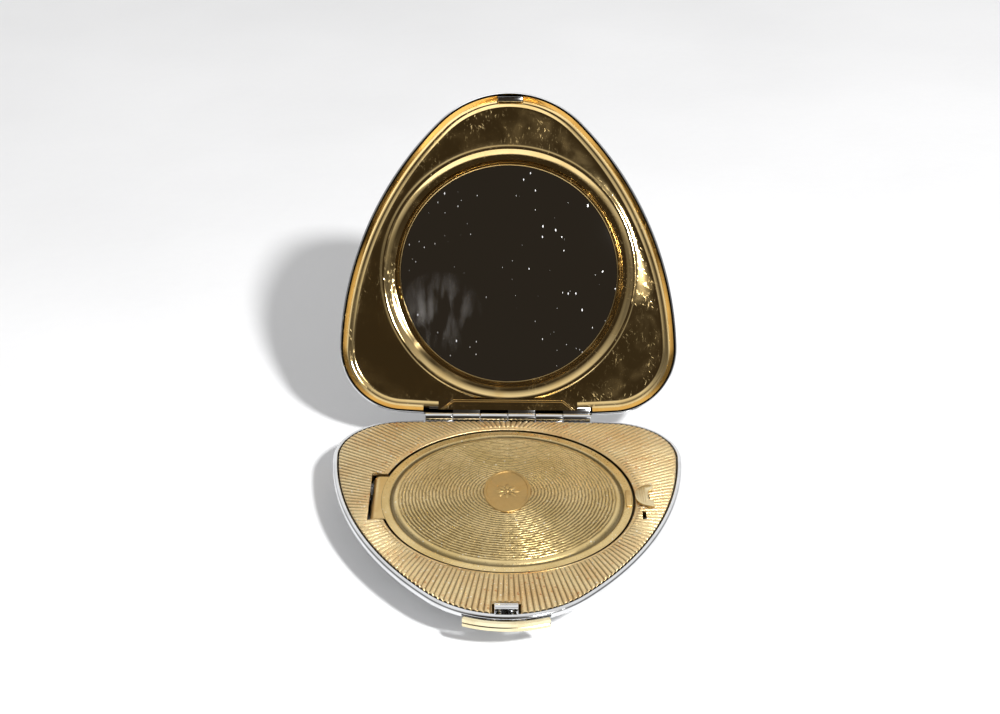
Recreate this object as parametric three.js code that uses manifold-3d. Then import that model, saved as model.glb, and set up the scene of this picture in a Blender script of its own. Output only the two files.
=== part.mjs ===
// A hinged powder compact with a rounded triangular case, standing open.
// Millimetres, +Z up. The origin is the middle of the flat underside, +X is to the
// right, the hinge is at the back (+Y) and the thumb button at the front (-Y).
// Lid pieces are drawn as if the lid were shut, and one turned group opens it.
import * as THREE from "three";
import { mergeVertices } from "three/addons/utils/BufferGeometryUtils.js";
import Module from "manifold-3d";

const wasm = await Module();
wasm.setup();

// Case outline: five kinds of arc, each tangent to the next
const CASE_WIDTH = 80;
const CASE_LENGTH = 77.1;
const FRONT_RADIUS = 23.8;
const CORNER_RADIUS = 15.4;
const SIDE_RADIUS = 79;
const REAR_RADIUS = 400;
const ARC_STEPS = { side: 12, corner: 8, rear: 10, front: 12 };

// Heights over the surface that the case stands on
const RIM_Z = 9;
const BOWL_REAR = 0.4;
const DECK_INSET = 1.35;
const DECK_EDGE_Z = 9;
const DECK_RING_Z = 9.3;
const DECK_THICKNESS = 0.45;
const LEDGE_Z = 8.3;

// Main hinge
const LID_OPEN_DEG = 122;
const HINGE_Y = CASE_LENGTH / 2 + 0.3;
const KNUCKLE_RADIUS = 1.1;
const KNUCKLE_BORE = 0.56;
const HINGE_PIN_RADIUS = 0.5;
const KNUCKLE_COUNT = 6;
const KNUCKLE_PITCH = 6.52;
const KNUCKLE_GAP = 0.16;
const LEAF_THICKNESS = 0.5;
const LEAF_Y = CASE_LENGTH / 2 - 2.25;
const HINGE_NOTCH = KNUCKLE_COUNT * KNUCKLE_PITCH + 0.6;

// Round opening of the deck, the well in it and the lid over it
const WELL_Y = 4.85;
const DECK_HOLE_RADIUS = 28.4;
const LEDGE_RADIUS = 26.6;
const INNER_LID_RADIUS = 27.95;
const INNER_LID_Z = 8.45;
const INNER_LID_THICKNESS = 0.5;
const TAB_HALF_WIDTH = 8.35;
const INNER_PIVOT = { x: -28.6, z: 7.4 };
const CURL_RADIUS = 1.5;
const CURL_THICKNESS = 0.45;
const INNER_PIN_RADIUS = 0.45;

// Thumb button and its hook
const BUTTON_HALF_WIDTH = 9.1;
const BUTTON_BOTTOM_Z = 5.9;
const BUTTON_HEIGHT = 2.2;
const BUTTON_PROUD = 1;
const HOOK_HALF_WIDTH = 2.45;
const HOOK_Y = -35.9;
const HOOK_STRIP_Z = 6.4;
const HOOK_TOP_Z = 10.2;
const STRIP_THICKNESS = 0.6;

// Sliding catch of the inner lid
const CATCH_TIP_X = 28.3;
const CATCH_BACK_X = 32.5;
const CATCH_HALF_WIDTH = 4.3;
const CATCH_Z = 9.55;

// Mirror, in heights above the rim of the shut lid
const MIRROR_Y = 4.35;
const MIRROR_RADIUS = 26.1;
const MIRROR_FACE = 2.9;
const MIRROR_THICKNESS = 1.2;

const TURN_STEPS = 48;

// ---- solids ----

// Merges shared vertices, drops flat triangles and turns the faces outwards
function closedBody(geometry) {
  const bare = geometry.index ? geometry : geometry.clone();
  bare.deleteAttribute("normal");
  bare.deleteAttribute("uv");
  const merged = mergeVertices(bare, 1e-4);
  const { array: at } = merged.attributes.position;
  const corners = merged.index.array;
  const kept = [];
  let volume = 0;
  for (let i = 0; i < corners.length; i += 3) {
    const [a, b, c] = [corners[i], corners[i + 1], corners[i + 2]];
    if (a === b || b === c || a === c) continue;
    kept.push(a, b, c);
    const [p, q, r] = [a, b, c].map((k) => new THREE.Vector3().fromArray(at, 3 * k));
    volume += p.dot(q.cross(r));
  }
  if (volume < 0) {
    for (let i = 0; i < kept.length; i += 3) [kept[i], kept[i + 1]] = [kept[i + 1], kept[i]];
  }
  const body = new THREE.BufferGeometry();
  body.setAttribute("position", new THREE.BufferAttribute(new Float32Array(at), 3));
  body.setIndex(kept);
  return body;
}

function toManifold(geometry) {
  const body = closedBody(geometry);
  return new wasm.Manifold(new wasm.Mesh({
    numProp: 3,
    vertProperties: body.attributes.position.array,
    triVerts: new Uint32Array(body.index.array),
  }));
}

function fromManifold(solid) {
  const mesh = solid.getMesh();
  const body = new THREE.BufferGeometry();
  body.setAttribute("position", new THREE.BufferAttribute(mesh.vertProperties, 3));
  body.setIndex([...mesh.triVerts]);
  return body;
}

function join(...shapes) {
  return fromManifold(shapes.map(toManifold).reduce((all, one) => all.add(one)));
}

function cut(shape, ...tools) {
  return fromManifold(tools.map(toManifold).reduce((left, one) => left.subtract(one), toManifold(shape)));
}

// A box between two opposite corners
function block([x0, y0, z0], [x1, y1, z1]) {
  const box = new THREE.BoxGeometry(x1 - x0, y1 - y0, z1 - z0);
  return box.translate((x0 + x1) / 2, (y0 + y1) / 2, (z0 + z1) / 2);
}

// A profile of [radius, z] pairs turned about a vertical axis at y
function turned(profile, y, close = false) {
  const points = (close ? [...profile, profile[0]] : profile).map(([r, z]) => new THREE.Vector2(r, z));
  return new THREE.LatheGeometry(points, TURN_STEPS).rotateX(Math.PI / 2).translate(0, y, 0);
}

// A rod or tube lying along X or Y, centred on its own length
function rod(radius, length, along, sides = 16) {
  const shape = new THREE.CylinderGeometry(radius, radius, length, sides);
  return along === "x" ? shape.rotateZ(Math.PI / 2) : shape;
}

// An outline drawn in XZ, pushed out along Y to both sides of y
function slabAlongY(outline, y, halfWidth, curveSegments = 8) {
  const slab = new THREE.ExtrudeGeometry(outline, { depth: 2 * halfWidth, bevelEnabled: false, curveSegments });
  return slab.rotateX(Math.PI / 2).translate(0, y + halfWidth, 0);
}

// A coil spring lying along X or Y from one end to the other
function coilSpring(from, to, radius, wire, turns) {
  const axis = to.clone().sub(from);
  const side = new THREE.Vector3(0, 0, 1);
  const other = axis.clone().normalize().cross(side);
  const points = [];
  const perTurn = 10;
  for (let i = 0; i <= turns * perTurn; i++) {
    const angle = (2 * Math.PI * i) / perTurn;
    points.push(from.clone().addScaledVector(axis, i / (turns * perTurn))
      .addScaledVector(side, radius * Math.cos(angle))
      .addScaledVector(other, radius * Math.sin(angle)));
  }
  const section = new THREE.Shape().absarc(0, 0, wire / 2, 0, 2 * Math.PI);
  return new THREE.ExtrudeGeometry(section, {
    extrudePath: new THREE.CatmullRomCurve3(points),
    steps: turns * perTurn,
    bevelEnabled: false,
    curveSegments: 3,
  });
}

// ---- case outline ----

// The crossing of two circles that has the smaller x
function leftCrossing(a, ra, b, rb) {
  const gap = b.clone().sub(a);
  const along = (ra * ra - rb * rb + gap.lengthSq()) / (2 * gap.length());
  const across = Math.sqrt(ra * ra - along * along);
  const unit = gap.normalize();
  const foot = a.clone().addScaledVector(unit, along);
  const step = new THREE.Vector2(-unit.y, unit.x).multiplyScalar(across);
  const [one, two] = [foot.clone().add(step), foot.clone().sub(step)];
  return one.x < two.x ? one : two;
}

// The arcs of the outline, anticlockwise from where the front meets the right side
function outlineArcs() {
  const rear = new THREE.Vector2(0, CASE_LENGTH / 2 - REAR_RADIUS);
  const cornerX = CASE_WIDTH / 2 - CORNER_RADIUS;
  const corner = new THREE.Vector2(cornerX, rear.y + Math.sqrt((REAR_RADIUS - CORNER_RADIUS) ** 2 - cornerX ** 2));
  const front = new THREE.Vector2(0, FRONT_RADIUS - CASE_LENGTH / 2);
  const side = leftCrossing(corner, SIDE_RADIUS - CORNER_RADIUS, front, SIDE_RADIUS - FRONT_RADIUS);
  const frontToSide = Math.atan2(front.y - side.y, front.x - side.x);
  const sideToCorner = Math.atan2(corner.y - side.y, corner.x - side.x);
  const cornerToRear = Math.atan2(corner.y - rear.y, corner.x - rear.x);
  const mirrored = (centre) => new THREE.Vector2(-centre.x, centre.y);
  return [
    { centre: side, radius: SIDE_RADIUS, from: frontToSide, to: sideToCorner, steps: ARC_STEPS.side },
    { centre: corner, radius: CORNER_RADIUS, from: sideToCorner, to: cornerToRear, steps: ARC_STEPS.corner },
    { centre: rear, radius: REAR_RADIUS, from: cornerToRear, to: Math.PI - cornerToRear, steps: ARC_STEPS.rear },
    {
      centre: mirrored(corner), radius: CORNER_RADIUS,
      from: Math.PI - cornerToRear, to: Math.PI - sideToCorner, steps: ARC_STEPS.corner,
    },
    {
      centre: mirrored(side), radius: SIDE_RADIUS,
      from: Math.PI - sideToCorner, to: Math.PI - frontToSide, steps: ARC_STEPS.side,
    },
    {
      centre: front, radius: FRONT_RADIUS,
      from: Math.PI - frontToSide, to: 2 * Math.PI + frontToSide, steps: ARC_STEPS.front,
    },
  ];
}

const arcs = outlineArcs();

// The inset shrinks to the share called rear behind the middle, and wall is added to it
function caseLoop(inset, rear = 1, wall = 0) {
  return arcs.flatMap(({ centre, radius, from, to, steps }) =>
    Array.from({ length: steps }, (_, i) => {
      const angle = from + ((to - from) * i) / steps;
      const behind = THREE.MathUtils.smoothstep(centre.y + radius * Math.sin(angle), 0, 30);
      const reach = radius - inset * (1 + (rear - 1) * behind) - wall;
      return [centre.x + reach * Math.cos(angle), centre.y + reach * Math.sin(angle)];
    }));
}

// A circle with one point for each point of the outline, so that the two can be joined
function roundLoop(radius, y) {
  return caseLoop(0).map(([px, py]) => {
    const angle = Math.atan2(py - y, px);
    return [radius * Math.cos(angle), y + radius * Math.sin(angle)];
  });
}

// A ring is { inset, z } along the case outline or { radius, z } about the centre y
function loft(rings, y = 0, closeOnItself = false) {
  const loops = rings.map((ring) => (ring.radius ? roundLoop(ring.radius, y)
    : caseLoop(ring.inset, ring.rear, ring.wall)));
  const count = loops[0].length;
  const position = loops.flatMap((loop, k) => loop.flatMap(([px, py]) => [px, py, rings[k].z]));
  const index = [];
  const last = closeOnItself ? loops.length : loops.length - 1;
  for (let k = 0; k < last; k++) {
    const [low, high] = [k * count, ((k + 1) % loops.length) * count];
    for (let i = 0; i < count; i++) {
      const next = (i + 1) % count;
      index.push(low + i, low + next, high + next, low + i, high + next, high + i);
    }
  }
  if (!closeOnItself) {
    const end = (loops.length - 1) * count;
    const middle = position.length / 3;
    position.push(0, y, rings[0].z, 0, y, rings.at(-1).z);
    for (let i = 0; i < count; i++) {
      const next = (i + 1) % count;
      index.push(middle, next, i, middle + 1, end + i, end + next);
    }
  }
  const shape = new THREE.BufferGeometry();
  shape.setAttribute("position", new THREE.BufferAttribute(new Float32Array(position), 3));
  shape.setIndex(index);
  return shape;
}

const along = (pairs) => pairs.map(([inset, z]) => ({ inset, z }));
const round = (pairs) => pairs.map(([radius, z]) => ({ radius, z }));
const lifted = (rings) => rings.map((ring) => ({ ...ring, z: ring.z + RIM_Z }));

// ---- materials ----

const metal = (color, roughness) => new THREE.MeshStandardMaterial({ color, roughness, metalness: 1 });
const plain = (color, roughness) => new THREE.MeshStandardMaterial({ color, roughness, metalness: 0 });
const chrome = metal(0xd6d8da, 0.12);
const gilt = metal(0xc79a45, 0.15);
const satinGilt = metal(0xc8a060, 0.42);
const brass = metal(0xb8975a, 0.4);
const paleGilt = metal(0xe3d3a0, 0.25);
const steel = metal(0x9a9c9e, 0.35);
const silvering = metal(0xb9b6b0, 0.03);
const card = plain(0x8b8270, 0.9);
const gauze = plain(0xe9e2d2, 0.95);

function piece(name, geometry, material) {
  const mesh = new THREE.Mesh(closedBody(geometry), material);
  mesh.name = name;
  return mesh;
}

// ---- base ----

// A sector of a ring about the centre of the front arc
function frontArcBand(inner, outer, halfWidth, z, height) {
  const centreY = FRONT_RADIUS - CASE_LENGTH / 2;
  const half = Math.asin(halfWidth / outer);
  const down = -Math.PI / 2;
  const band = new THREE.Shape();
  band.absarc(0, centreY, outer, down - half, down + half, false);
  band.absarc(0, centreY, inner, down + half, down - half, true);
  const shape = new THREE.ExtrudeGeometry(band, { depth: height, bevelEnabled: false, curveSegments: 6 });
  return shape.translate(0, 0, z);
}

// Room for the knuckles in the rear wall, from one height to another
function hingeNotch(bottom, top) {
  return block([-HINGE_NOTCH / 2, LEAF_Y - 0.7, bottom], [HINGE_NOTCH / 2, HINGE_Y + 3, top]);
}

function baseShell() {
  const bowl = [
    [14, 0], [12, 0.5], [10, 1.5], [7.5, 2.95], [5, 4.45], [3, 5.65], [1.6, 6.5], [0.6, 7.1],
  ].map(([inset, z]) => ({ inset, z, rear: BOWL_REAR }));
  const lining = bowl.map((ring) => ({ ...ring, z: ring.z + 0.4, wall: 0.35 })).reverse();
  const dish = loft([
    ...bowl,
    ...along([[0.1, 7.7], [0, 8.2], [0.1, 8.6], [0.35, 8.82], [0.75, 8.95], [1, RIM_Z]]),
    ...along([[1.05, 8.7], [0.8, 8.35], [0.65, 7.9]]),
    ...lining,
  ]);
  const window = frontArcBand(FRONT_RADIUS - 4, FRONT_RADIUS + 3, BUTTON_HALF_WIDTH + 1.2,
    BUTTON_BOTTOM_Z - 0.3, BUTTON_HEIGHT + 0.6);
  return cut(dish, window, hingeNotch(RIM_Z - 1.45, RIM_Z + 1));
}

function deckPlate() {
  const under = DECK_THICKNESS;
  const plate = loft([
    { inset: DECK_INSET, z: DECK_EDGE_Z },
    { radius: DECK_HOLE_RADIUS + 1, z: DECK_RING_Z },
    { radius: DECK_HOLE_RADIUS, z: DECK_RING_Z },
    { radius: DECK_HOLE_RADIUS, z: LEDGE_Z },
    { radius: LEDGE_RADIUS, z: LEDGE_Z },
    { radius: LEDGE_RADIUS, z: LEDGE_Z - under },
    { radius: DECK_HOLE_RADIUS + under, z: LEDGE_Z - under },
    { radius: DECK_HOLE_RADIUS + under, z: DECK_RING_Z - under },
    { radius: DECK_HOLE_RADIUS + 1, z: DECK_RING_Z - under },
    { inset: DECK_INSET, z: DECK_EDGE_Z - under },
  ].reverse(), WELL_Y, true);
  const tabSlot = block([-30.5, WELL_Y - 9.1, 7], [-26, WELL_Y + 9.1, 11]);
  const catchSlot = block([29.2, WELL_Y - 1.7, 7], [31.6, WELL_Y + 1.7, 11]);
  const springSlot = block([29.6, WELL_Y - 8.2, 7], [30.5, WELL_Y - 4.9, 11]);
  const hookNotch = block([-3, -40, 7], [3, -33.45, 11]);
  return cut(plate, tabSlot, catchSlot, springSlot, hookNotch);
}

function powderWell() {
  return turned([
    [0, 1.3], [22.3, 1.3], [22.7, 1.5], [25.9, 3.2], [26.2, 3.6], [26.2, 7.2], [26.9, 7.2], [26.9, 7.6],
    [26.2, 7.6], [26.2, 7.9], [25.8, 7.9], [25.7, 3.7], [22.4, 1.95], [22, 1.7], [0, 1.7],
  ], WELL_Y);
}

// Every second knuckle, each a tube with a tongue to the leaf's strip
function hingeLeaf(first, tongueZ, stripZ) {
  const [stripLow, stripHigh] = stripZ;
  const shapes = [];
  for (let k = first; k < KNUCKLE_COUNT; k += 2) {
    const x = (k - (KNUCKLE_COUNT - 1) / 2) * KNUCKLE_PITCH;
    const half = (KNUCKLE_PITCH - KNUCKLE_GAP) / 2;
    shapes.push(rod(KNUCKLE_RADIUS, 2 * half, "x").translate(x, HINGE_Y, RIM_Z));
    shapes.push(block([x - half, LEAF_Y, tongueZ], [x + half, HINGE_Y, tongueZ + LEAF_THICKNESS]));
  }
  shapes.push(block([-18.6, LEAF_Y, stripLow], [18.6, LEAF_Y + LEAF_THICKNESS, stripHigh]));
  const bore = rod(KNUCKLE_BORE, 60, "x").translate(0, HINGE_Y, RIM_Z);
  return cut(join(...shapes), bore);
}

// A strap under the curl with a cheek at each end, turned out under the deck
function innerLidBracket() {
  const { x, z } = INNER_PIVOT;
  const cheeks = [-1, 1].flatMap((side) => {
    const [y0, y1, y2] = [9.2, 9.8, 11.6].map((reach) => WELL_Y + side * reach);
    return [
      block([x - 0.8, Math.min(y0, y1), 5.45], [x + 1, Math.max(y0, y1), 8.5]),
      block([x - 0.8, Math.min(y0, y2), 8.1], [x + 1, Math.max(y0, y2), 8.5]),
    ];
  });
  const body = join(block([x - 0.8, WELL_Y - 9.8, 5.45], [x + 1, WELL_Y + 9.8, 5.75]), ...cheeks);
  return cut(body, rod(INNER_PIN_RADIUS + 0.06, 30, "y").translate(x, WELL_Y, z));
}

function latchBracket() {
  return join(
    block([-4.2, -31, 4.3], [4.2, -23.3, 4.7]),
    block([-4.2, -31, 4], [4.2, -30.5, 4.7]),
    block([-4.2, -23.8, 1.1], [4.2, -23.3, 7.6]),
    block([-3.5, -31, 4.3], [-3.1, -27.8, 7]),
    block([3.1, -31, 4.3], [3.5, -27.8, 7]),
  );
}

function catchGuide() {
  return join(
    block([29.9, WELL_Y - 3.2, 6.2], [33.3, WELL_Y + 3.2, 6.5]),
    block([29.9, WELL_Y - 3.2, 6.2], [33.3, WELL_Y - 2.85, 8.3]),
    block([29.9, WELL_Y + 2.85, 6.2], [33.3, WELL_Y + 3.2, 8.3]),
    block([33, WELL_Y - 3.2, 6.2], [33.3, WELL_Y + 3.2, 8.2]),
  );
}

function buildBase() {
  const pinLength = KNUCKLE_COUNT * KNUCKLE_PITCH;
  const { x, z } = INNER_PIVOT;
  return [
    piece("base_shell", baseShell(), chrome),
    piece("deck_plate", deckPlate(), satinGilt),
    piece("powder_well", powderWell(), brass),
    piece("base_hinge_leaf", hingeLeaf(0, RIM_Z - KNUCKLE_RADIUS, [6.6, 8.4]), chrome),
    piece("hinge_pin", rod(HINGE_PIN_RADIUS, pinLength, "x").translate(0, HINGE_Y, RIM_Z), steel),
    piece("inner_lid_bracket", innerLidBracket(), brass),
    piece("inner_lid_pin", rod(INNER_PIN_RADIUS, 19.8, "y").translate(x, WELL_Y, z), steel),
    piece("latch_bracket", latchBracket(), brass),
    piece("latch_spring", coilSpring(
      new THREE.Vector3(0, -26.7, 6.1), new THREE.Vector3(0, -24, 6.1), 1, 0.3, 5), steel),
    piece("catch_guide", catchGuide(), brass),
    piece("catch_spring", coilSpring(
      new THREE.Vector3(31.1, WELL_Y, 7.25), new THREE.Vector3(32.9, WELL_Y, 7.25), 0.55, 0.25, 2), steel),
  ];
}

// ---- latch ----

function thumbButton() {
  return frontArcBand(FRONT_RADIUS + 0.1, FRONT_RADIUS + BUTTON_PROUD, BUTTON_HALF_WIDTH,
    BUTTON_BOTTOM_Z, BUTTON_HEIGHT);
}

function latchHook() {
  const stripTop = HOOK_STRIP_Z + STRIP_THICKNESS;
  return join(
    block([-4, -38.2, 6.2], [4, -37.7, 8]),
    block([-HOOK_HALF_WIDTH, -38.2, HOOK_STRIP_Z], [HOOK_HALF_WIDTH, -27, stripTop]),
    block([-HOOK_HALF_WIDTH, HOOK_Y, HOOK_STRIP_Z], [HOOK_HALF_WIDTH, HOOK_Y + STRIP_THICKNESS, HOOK_TOP_Z]),
    block([-HOOK_HALF_WIDTH, -36.8, HOOK_TOP_Z - STRIP_THICKNESS], [HOOK_HALF_WIDTH, HOOK_Y + 0.2, HOOK_TOP_Z]),
    block([-1.6, -27.4, 5], [1.6, -27, 7.2]),
  );
}

function buildLatch() {
  return [piece("thumb_button", thumbButton(), paleGilt), piece("latch_hook", latchHook(), chrome)];
}

// ---- inner lid ----

// The tab's section: flat over the deck's slot, then curled down round the pin
function tabSection() {
  const { x, z } = INNER_PIVOT;
  const inner = CURL_RADIUS - CURL_THICKNESS;
  const end = (170 * Math.PI) / 180;
  const section = new THREE.Shape();
  section.moveTo(x + 2.2, z + inner);
  section.lineTo(x + 2.2, z + CURL_RADIUS);
  section.lineTo(x, z + CURL_RADIUS);
  section.absarc(x, z, CURL_RADIUS, Math.PI / 2, end, false);
  section.absarc(x, z, inner, end, Math.PI / 2, true);
  return section;
}

function innerLid() {
  const { x, z } = INNER_PIVOT;
  const top = INNER_LID_Z + INNER_LID_THICKNESS;
  const panel = turned([
    [0, 10.4], [8, 10.3], [16, 9.9], [22, 9.4], [24.5, 9.05], [24.8, 8.55], [25.1, 8.2], [25.9, 8.2],
    [26.3, INNER_LID_Z], [INNER_LID_RADIUS - 0.35, INNER_LID_Z], [INNER_LID_RADIUS, top - 0.1],
    [INNER_LID_RADIUS, top], [26.2, top],
    [25.8, 8.7], [25.4, 8.7], [25, 9.4], [24.6, 9.6], [22, 9.9], [16, 10.4], [8, 10.8], [0, 10.9],
  ], WELL_Y);
  const lug = block([26.2, WELL_Y - 3.1, 8.7], [27.7, WELL_Y + 3.1, 9.3]);
  const tab = slabAlongY(tabSection(), WELL_Y, TAB_HALF_WIDTH);
  const sleeve = rod(CURL_RADIUS - CURL_THICKNESS + 0.1, 11.8, "y").translate(x, WELL_Y, z);
  const bore = rod(INNER_PIN_RADIUS + 0.06, 30, "y").translate(x, WELL_Y, z);
  return cut(join(panel, lug, tab, sleeve), bore);
}

// ---- inner lid catch ----

// A half-moon with a concave back that leaves two horns
function catchThumbpiece() {
  const moon = new THREE.Shape();
  const horn = CATCH_BACK_X;
  moon.moveTo(horn, -CATCH_HALF_WIDTH);
  moon.lineTo(horn - 0.2, -2.2);
  moon.lineTo(horn - 1.2, -2);
  moon.lineTo(horn - 1.2, 2);
  moon.lineTo(horn - 0.2, 2.2);
  moon.lineTo(horn, CATCH_HALF_WIDTH);
  moon.bezierCurveTo(
    CATCH_TIP_X + 1.6, CATCH_HALF_WIDTH, CATCH_TIP_X, 2.6, CATCH_TIP_X, 0);
  moon.bezierCurveTo(
    CATCH_TIP_X, -2.6, CATCH_TIP_X + 1.6, -CATCH_HALF_WIDTH, horn, -CATCH_HALF_WIDTH);
  return new THREE.ExtrudeGeometry(moon, { depth: 0.5, bevelEnabled: false, curveSegments: 10 })
    .translate(0, WELL_Y, CATCH_Z);
}

function catchSlider() {
  return join(
    block([29.3, WELL_Y - 2.6, 7], [30.9, WELL_Y + 2.6, 7.5]),
    block([29.4, WELL_Y - 1.4, 7], [30.2, WELL_Y + 1.4, CATCH_Z - 0.05]),
  );
}

function buildCatch() {
  return [
    piece("catch_thumbpiece", catchThumbpiece(), paleGilt),
    piece("catch_slider", catchSlider(), brass),
  ];
}

// ---- sifter ----

function buildSifter() {
  const ring = turned([
    [24.9, 3.8], [25.3, 4], [25.3, 4.5], [25.1, 4.6], [23.1, 4.6], [23.1, 4.35], [24.6, 4.35],
    [24.6, 4.05], [23.1, 4.05], [23.1, 3.8],
  ], WELL_Y, true);
  const cloth = turned([[0, 4.12], [24.4, 4.12], [24.4, 4.28], [0, 4.28]], WELL_Y);
  return [piece("sifter_ring", ring, brass), piece("sifter_gauze", cloth, gauze)];
}

// ---- lid, drawn shut ----

function lidShell() {
  const dome = loft(lifted([
    ...round([[6, 5.7], [18, 5.6]]),
    ...along([[8.5, 5.3], [4.4, 5.05], [2.2, 4.4], [0.9, 3.2], [0.5, 2], [0.5, 0.05]]),
    ...along([[0.15, 0.05], [0, 0.9], [0, 2.3], [0.35, 3.5], [1.6, 4.8], [3.9, 5.6], [8.5, 5.85]]),
    ...round([[18, 6.1], [6, 6.2]]),
  ]), MIRROR_Y);
  return cut(dome, hingeNotch(RIM_Z - 1, RIM_Z + 1.45));
}

function lidLining() {
  const pan = loft(lifted([
    ...round([[20, 4.55], [27, 4.55], [27.1, 3.3], [27.8, 3.3], [29.3, 2.75], [29.8, 2.5], [30.1, 2.6]]),
    ...along([[3.4, 2.6], [2.7, 2.35], [2.2, 2.1], [1.6, 1.9], [1, 0.6], [0.8, 0.35]]),
    ...along([[0.7, 0.35], [0.7, 1.2], [1.3, 2.5], [2.5, 3.05], [3.4, 3.1]]),
    ...round([[30.2, 3.1], [28.2, 3.8], [27.5, 4.95], [20, 4.95]]),
  ]), MIRROR_Y);
  const forLeaf = block([-HINGE_NOTCH / 2 - 0.2, 36.1, RIM_Z - 1], [HINGE_NOTCH / 2 + 0.2, 40, RIM_Z + 2.65]);
  const forStrike = block([-3.1, -40, RIM_Z - 1], [3.1, -36, RIM_Z + 2.3]);
  return cut(pan, forLeaf, forStrike);
}

function mirrorRing() {
  const profile = [
    [25.8, 2.8], [25.9, 2.5], [26.4, 2.3], [26.65, 2.5], [26.65, 4.3], [26.35, 4.3], [26.35, 2.8],
  ].map(([r, h]) => [r, h + RIM_Z]);
  return turned(profile, MIRROR_Y, true);
}

function disc(radius, low, high) {
  return turned([[0, low], [radius, low], [radius, high], [0, high]].map(([r, h]) => [r, h + RIM_Z]), MIRROR_Y);
}

// The trapezoid that hides the leaf, bent up from the hinge to the lining
function hingeCoverPlate() {
  const section = new THREE.Shape([
    [37, 9.3], [36.2, 9.3], [34.4, 11.15], [34.4, 11.5], [36.1, 9.54], [37, 9.52],
  ].map(([y, z]) => new THREE.Vector2(y, z)));
  const bent = new THREE.ExtrudeGeometry(section, { depth: 33, bevelEnabled: false })
    .rotateY(Math.PI / 2).rotateX(Math.PI / 2).translate(-16.5, 0, 0);
  const outline = new THREE.Shape([[-16.5, 37.2], [16.5, 37.2], [12.95, 34.3], [-12.95, 34.3]]
    .map(([x, y]) => new THREE.Vector2(x, y)));
  const trim = new THREE.ExtrudeGeometry(outline, { depth: 4, bevelEnabled: false }).translate(0, 0, 8);
  return fromManifold(toManifold(bent).intersect(toManifold(trim)));
}

function strikePlate() {
  return join(
    block([-2.9, -37.4, RIM_Z + 0.05], [2.9, -37, RIM_Z + 2.1]),
    block([-2.9, -37.4, RIM_Z + 0.05], [2.9, -36.2, RIM_Z + 0.45]),
  );
}

function buildLid() {
  const glassBack = MIRROR_FACE + MIRROR_THICKNESS;
  const pieces = [
    piece("lid_shell", lidShell(), chrome),
    piece("lid_lining", lidLining(), gilt),
    piece("mirror_backing", disc(MIRROR_RADIUS - 0.2, glassBack + 0.1, glassBack + 0.3), card),
    piece("mirror_glass", disc(MIRROR_RADIUS, MIRROR_FACE, glassBack), silvering),
    piece("mirror_ring", mirrorRing(), gilt),
    piece("lid_hinge_leaf", hingeLeaf(1, RIM_Z + KNUCKLE_RADIUS - LEAF_THICKNESS, [9.6, 11.6]), chrome),
    piece("hinge_cover_plate", hingeCoverPlate(), gilt),
    piece("strike_plate", strikePlate(), chrome),
  ];
  const shut = new THREE.Group();
  shut.position.set(0, -HINGE_Y, -RIM_Z);
  shut.add(...pieces);
  const hinge = new THREE.Group();
  hinge.position.set(0, HINGE_Y, RIM_Z);
  hinge.rotation.x = (-LID_OPEN_DEG * Math.PI) / 180;
  hinge.add(shut);
  return hinge;
}

const compact = new THREE.Group();
compact.name = "powder_compact";
compact.add(...buildBase(), ...buildLatch(), ...buildCatch(), ...buildSifter());
compact.add(piece("inner_lid", innerLid(), brass));
compact.add(buildLid());

export default compact;
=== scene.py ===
import math

import bmesh
import bpy
from mathutils import Matrix, Vector
from mathutils.geometry import interpolate_bezier


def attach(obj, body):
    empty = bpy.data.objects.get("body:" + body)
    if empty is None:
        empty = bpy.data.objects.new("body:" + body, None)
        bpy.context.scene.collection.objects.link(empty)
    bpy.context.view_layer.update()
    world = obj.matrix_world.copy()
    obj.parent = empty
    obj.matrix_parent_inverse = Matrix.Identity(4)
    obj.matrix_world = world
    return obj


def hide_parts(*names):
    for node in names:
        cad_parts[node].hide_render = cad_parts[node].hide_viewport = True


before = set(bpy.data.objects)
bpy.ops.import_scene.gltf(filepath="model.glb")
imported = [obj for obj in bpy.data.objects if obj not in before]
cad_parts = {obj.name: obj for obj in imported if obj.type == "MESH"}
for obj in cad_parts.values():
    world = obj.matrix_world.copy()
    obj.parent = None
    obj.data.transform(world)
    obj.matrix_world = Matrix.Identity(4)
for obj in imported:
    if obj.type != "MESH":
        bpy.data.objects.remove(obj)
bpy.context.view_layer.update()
print("frame loaded")

# Shapes are drawn in millimetres, with the lid shut, and finishPiece puts them in place.
mm = 0.001
rimZ = 9.0
hinge = {"y": 38.85, "z": rimZ, "openDeg": 122.0}
wellCentre = Vector((0, 4.85, 0))
mirrorCentre = Vector((0, 4.35, 0))

caseOutline = {
    "width": 80.0,
    "length": 77.1,
    "frontRadius": 23.8,
    "cornerRadius": 15.4,
    "sideRadius": 79.0,
    "rearRadius": 400.0,
}


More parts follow.
